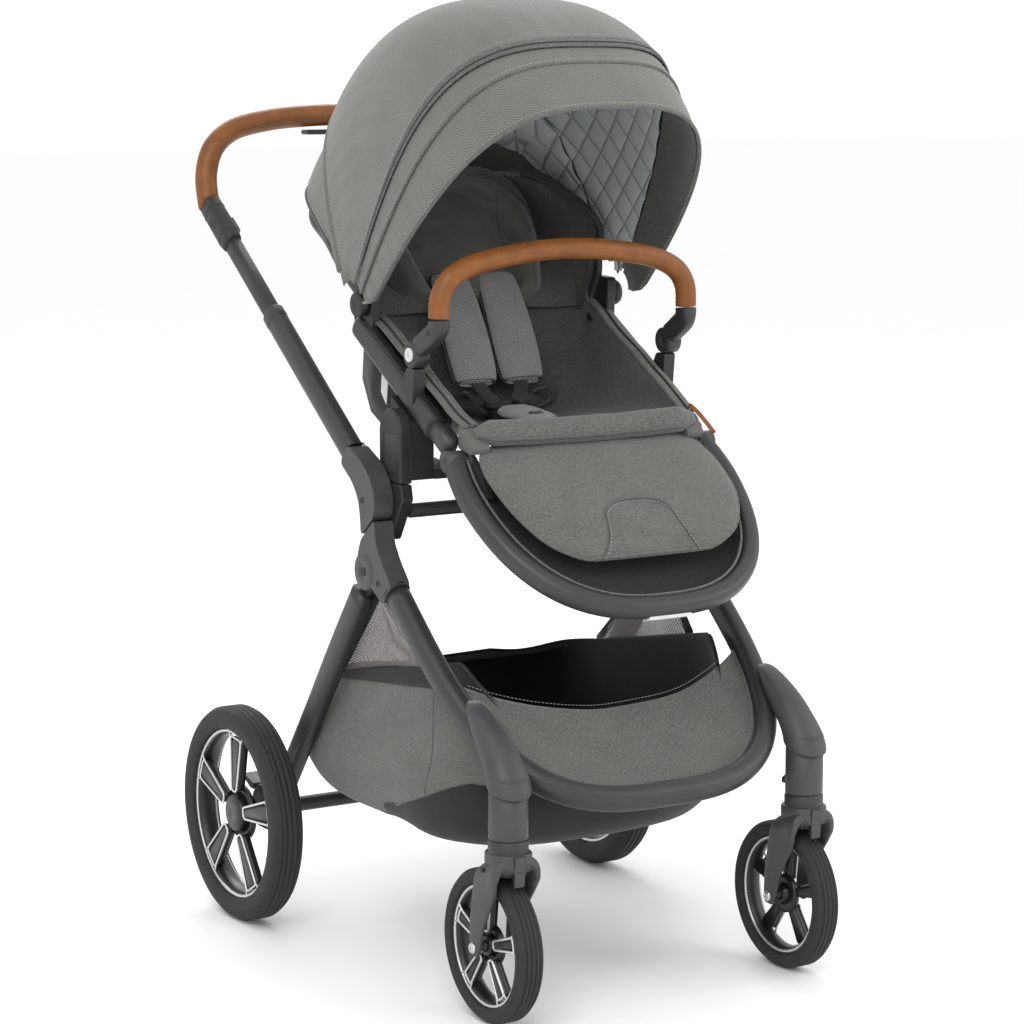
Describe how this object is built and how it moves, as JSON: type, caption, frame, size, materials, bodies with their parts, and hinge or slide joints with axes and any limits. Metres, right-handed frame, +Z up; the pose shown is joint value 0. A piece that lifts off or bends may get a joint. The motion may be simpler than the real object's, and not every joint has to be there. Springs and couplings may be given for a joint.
{
  "type": "baby stroller",
  "caption": "Folding baby stroller with reclining seat, folding canopy, bumper bar, footrest, storage basket, sliding handle, swivel front wheels and rear brake.",
  "frame": {"origin": "centre of the overall box on the ground, under the seat", "axes": "+X to the stroller's left, -Y to the front, +Z up"},
  "size_m": [0.597, 0.8809, 1.2124],
  "materials": {
    "frame": "satin",
    "plastic": "matte",
    "shell": "satin",
    "rubber": "matte",
    "rim": "satin",
    "fabric": "heather weave",
    "herringbone": "herringbone weave",
    "insert": "smooth knit",
    "leather": "satin grain",
    "silver": "gloss"
  },
  "bodies": {
    "chassis": {"front_frame": "frame", "cross_bar": "plastic", "basket": "fabric", "leg_crown_right": "shell", "leg_crown_left": "shell", "caster_housing_right": "shell", "caster_housing_left": "shell", "seat_socket_right": "plastic", "seat_socket_left": "plastic"},
    "rear_legs": {"rear_axle": "plastic", "rear_leg_right": "frame", "rear_leg_left": "frame"},
    "brake": {"brake_pedal": "shell"},
    "handle_arms": {"hub_right": "shell", "hub_left": "shell", "outer_tube_right": "frame", "outer_tube_left": "frame"},
    "handle_bar": {"handle_grip": "leather", "inner_tube_right": "plastic", "inner_tube_left": "plastic", "handle_joint_right": "plastic", "handle_joint_left": "plastic"},
    "trigger": {"fold_trigger": "plastic"},
    "seat": {"seat_tub": "fabric", "buckle": "plastic", "seat_rail_right": "frame", "seat_rail_left": "frame", "seat_adapter_right": "plastic", "seat_adapter_left": "plastic"},
    "harness_button": {"buckle_button": "plastic"},
    "backrest": {"backrest": "plastic", "head_insert": "insert", "canopy_rear": "herringbone", "harness_pad_right": "herringbone", "harness_pad_left": "herringbone"},
    "canopy": {"canopy_main": "herringbone"},
    "visor": {"canopy_visor": "herringbone"},
    "bumper": {"bumper_grip": "leather", "bumper_arm_right": "plastic", "bumper_arm_left": "plastic"},
    "footrest": {"footrest_frame": "frame", "footrest_pad": "fabric"},
    "swivel_pin_right": {"swivel_lock_right": "plastic"},
    "height_catch_right": {"height_button_right": "plastic"},
    "adapter_catch_right": {"adapter_button_right": "plastic"},
    "bumper_catch_right": {"bumper_button_right": "silver"},
    "rear_wheel_right": {"rear_tyre_right": "rubber", "rear_rim_right": "rim"},
    "front_wheel_right": {"front_tyre_right": "rubber", "front_rim_right": "rim"},
    "caster_right": {"front_fork_right": "shell"},
    "swivel_pin_left": {"swivel_lock_left": "plastic"},
    "height_catch_left": {"height_button_left": "plastic"},
    "adapter_catch_left": {"adapter_button_left": "plastic"},
    "bumper_catch_left": {"bumper_button_left": "silver"},
    "rear_wheel_left": {"rear_tyre_left": "rubber", "rear_rim_left": "rim"},
    "front_wheel_left": {"front_tyre_left": "rubber", "front_rim_left": "rim"},
    "caster_left": {"front_fork_left": "shell"}
  },
  "joints": [
    {"name": "handle_fold", "type": "hinge", "parent": "chassis", "child": "handle_arms", "pos_m": [0, -0.1075, 0.583], "axis": [1, 0, 0], "range_deg": [0, 170]},
    {"name": "handle_telescope", "type": "slide", "parent": "handle_arms", "child": "handle_bar", "axis": [0, 0.8111, 0.585], "range_m": [-0.05, 0]},
    {"name": "fold_trigger_press", "type": "slide", "parent": "handle_bar", "child": "trigger", "axis": [0, 0, 1], "range_m": [0, 0.002], "stiffness_N_per_m": 400, "springref_m": -0.002},
    {"name": "rear_leg_fold", "type": "hinge", "parent": "chassis", "child": "rear_legs", "pos_m": [0, -0.07, 0.505], "axis": [1, 0, 0], "range_deg": [-45, 0]},
    {"name": "brake_press", "type": "hinge", "parent": "rear_legs", "child": "brake", "pos_m": [-0.229, 0.232, 0.168], "axis": [1, 0, 0], "range_deg": [-12, 0]},
    {"name": "backrest_recline", "type": "hinge", "parent": "seat", "child": "backrest", "pos_m": [0, 0.0225, 0.829], "axis": [1, 0, 0], "range_deg": [-30, 0]},
    {"name": "canopy_fold", "type": "hinge", "parent": "backrest", "child": "canopy", "pos_m": [0, 0.0225, 0.829], "axis": [1, 0, 0], "range_deg": [-38, 0]},
    {"name": "visor_fold", "type": "hinge", "parent": "canopy", "child": "visor", "pos_m": [0, 0.0225, 0.829], "axis": [1, 0, 0], "range_deg": [-9, 0]},
    {"name": "seat_lift", "type": "slide", "parent": "chassis", "child": "seat", "axis": [0, 0, 1], "range_m": [0, 0.1]},
    {"name": "buckle_press", "type": "slide", "parent": "seat", "child": "harness_button", "axis": [0, 0, -1], "range_m": [0, 0.001], "stiffness_N_per_m": 400, "springref_m": -0.002},
    {"name": "bumper_fold", "type": "hinge", "parent": "seat", "child": "bumper", "pos_m": [0, -0.116, 0.777], "axis": [1, 0, 0], "range_deg": [0, 68]},
    {"name": "footrest_tilt", "type": "hinge", "parent": "seat", "child": "footrest", "pos_m": [0, -0.199, 0.6545], "axis": [1, 0, 0], "range_deg": [-40, 30]},
    {"name": "swivel_lock_right", "type": "slide", "parent": "chassis", "child": "swivel_pin_right", "axis": [0, 0, 1], "range_m": [-0.004, 0]},
    {"name": "height_press_right", "type": "slide", "parent": "handle_bar", "child": "height_catch_right", "axis": [-1, 0, 0], "range_m": [0, 0.002], "stiffness_N_per_m": 400, "springref_m": -0.002},
    {"name": "adapter_press_right", "type": "slide", "parent": "seat", "child": "adapter_catch_right", "axis": [1, 0, 0], "range_m": [0, 0.002], "stiffness_N_per_m": 400, "springref_m": -0.002},
    {"name": "bumper_press_right", "type": "slide", "parent": "bumper", "child": "bumper_catch_right", "axis": [1, 0, 0], "range_m": [0, 0.001], "stiffness_N_per_m": 400, "springref_m": -0.002},
    {"name": "rear_wheel_spin_right", "type": "hinge", "parent": "rear_legs", "child": "rear_wheel_right", "pos_m": [-0.27625, 0.2025, 0.1435], "axis": [1, 0, 0], "continuous": true},
    {"name": "caster_swivel_right", "type": "hinge", "parent": "chassis", "child": "caster_right", "pos_m": [-0.215, -0.3815, 0.232], "axis": [0, 0, 1], "continuous": true},
    {"name": "front_wheel_spin_right", "type": "hinge", "parent": "caster_right", "child": "front_wheel_right", "pos_m": [-0.215, -0.3465, 0.094], "axis": [1, 0, 0], "continuous": true},
    {"name": "swivel_lock_left", "type": "slide", "parent": "chassis", "child": "swivel_pin_left", "axis": [0, 0, 1], "range_m": [-0.004, 0]},
    {"name": "height_press_left", "type": "slide", "parent": "handle_bar", "child": "height_catch_left", "axis": [1, 0, 0], "range_m": [0, 0.002], "stiffness_N_per_m": 400, "springref_m": -0.002},
    {"name": "adapter_press_left", "type": "slide", "parent": "seat", "child": "adapter_catch_left", "axis": [-1, 0, 0], "range_m": [0, 0.002], "stiffness_N_per_m": 400, "springref_m": -0.002},
    {"name": "bumper_press_left", "type": "slide", "parent": "bumper", "child": "bumper_catch_left", "axis": [-1, 0, 0], "range_m": [0, 0.001], "stiffness_N_per_m": 400, "springref_m": -0.002},
    {"name": "rear_wheel_spin_left", "type": "hinge", "parent": "rear_legs", "child": "rear_wheel_left", "pos_m": [0.27625, 0.2025, 0.1435], "axis": [1, 0, 0], "continuous": true},
    {"name": "caster_swivel_left", "type": "hinge", "parent": "chassis", "child": "caster_left", "pos_m": [0.215, -0.3815, 0.232], "axis": [0, 0, 1], "continuous": true},
    {"name": "front_wheel_spin_left", "type": "hinge", "parent": "caster_left", "child": "front_wheel_left", "pos_m": [0.215, -0.3465, 0.094], "axis": [1, 0, 0], "continuous": true}
  ],
  "couplings": [
    {"joint": "rear_leg_fold", "follows": "handle_fold", "ratio": -0.26471}
  ]
}
